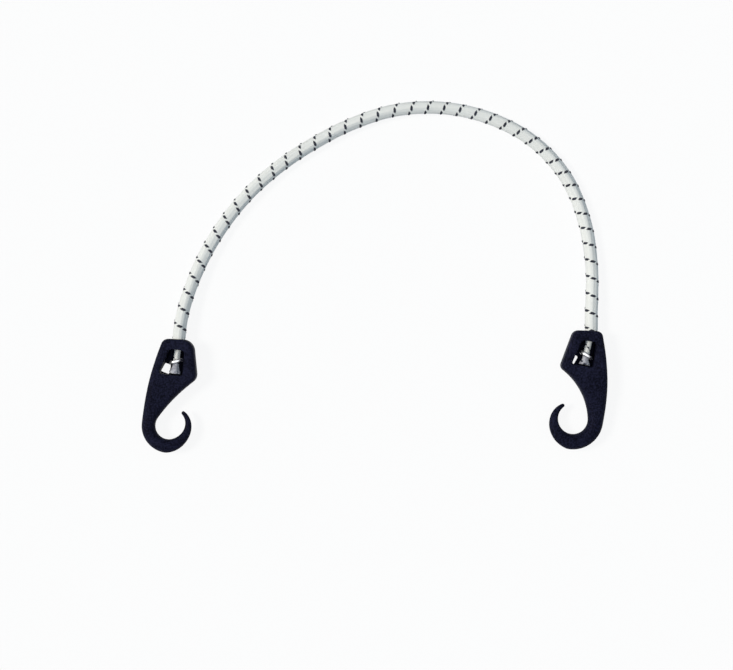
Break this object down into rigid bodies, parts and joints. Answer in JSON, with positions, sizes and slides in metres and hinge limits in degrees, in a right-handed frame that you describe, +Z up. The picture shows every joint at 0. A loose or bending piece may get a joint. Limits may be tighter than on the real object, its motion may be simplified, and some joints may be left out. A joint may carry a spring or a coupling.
{
  "type": "bungee cord",
  "caption": "Elastic bungee cord laid in an arch: a braided sheath over rubber strands, with an open plastic hook swivelling on each end, held by a wire ring clamped in its chamber.",
  "frame": {"origin": "on the table plane, at the middle of the box round the two hooks", "axes": "+X from the left hook to the right hook, +Y towards the top of the cord's arch, +Z up from the table"},
  "size_m": [0.2883, 0.2183, 0.014],
  "materials": {
    "hook_plastic": "fine-grained moulded plastic, near black",
    "cord_sheath": "off-white textile braid with a dark tracer yarn",
    "ring_steel": "bright plated steel wire",
    "core_rubber": "natural rubber strands"
  },
  "bodies": {
    "cord": {"braided_sheath": "cord_sheath", "rubber_strand_1": "core_rubber", "rubber_strand_2": "core_rubber", "rubber_strand_3": "core_rubber", "rubber_strand_4": "core_rubber", "rubber_strand_5": "core_rubber", "rubber_strand_6": "core_rubber", "rubber_strand_7": "core_rubber", "left_cord_tail": "cord_sheath", "left_clamp_ring": "ring_steel"},
    "right_end": {"right_cord_tail": "cord_sheath", "right_clamp_ring": "ring_steel"},
    "left_hook": {"left_hook": "hook_plastic"},
    "right_hook": {"right_hook": "hook_plastic"}
  },
  "joints": [
    {"name": "stretch", "type": "slide", "parent": "cord", "child": "right_end", "axis": [1, 0, 0], "range_m": [0, 0.3], "stiffness_N_per_m": 350, "deforming": ["braided_sheath", "rubber_strand_1", "rubber_strand_2", "rubber_strand_3", "rubber_strand_4", "rubber_strand_5", "rubber_strand_6", "rubber_strand_7"]},
    {"name": "left_swivel", "type": "hinge", "parent": "cord", "child": "left_hook", "pos_m": [-0.1212, 0.0324, 0.007], "axis": [-0.1149, -0.9934, 0], "continuous": true},
    {"name": "right_swivel", "type": "hinge", "parent": "right_end", "child": "right_hook", "pos_m": [0.1343, 0.0376, 0.007], "axis": [-0.1994, -0.9799, 0], "continuous": true}
  ]
}
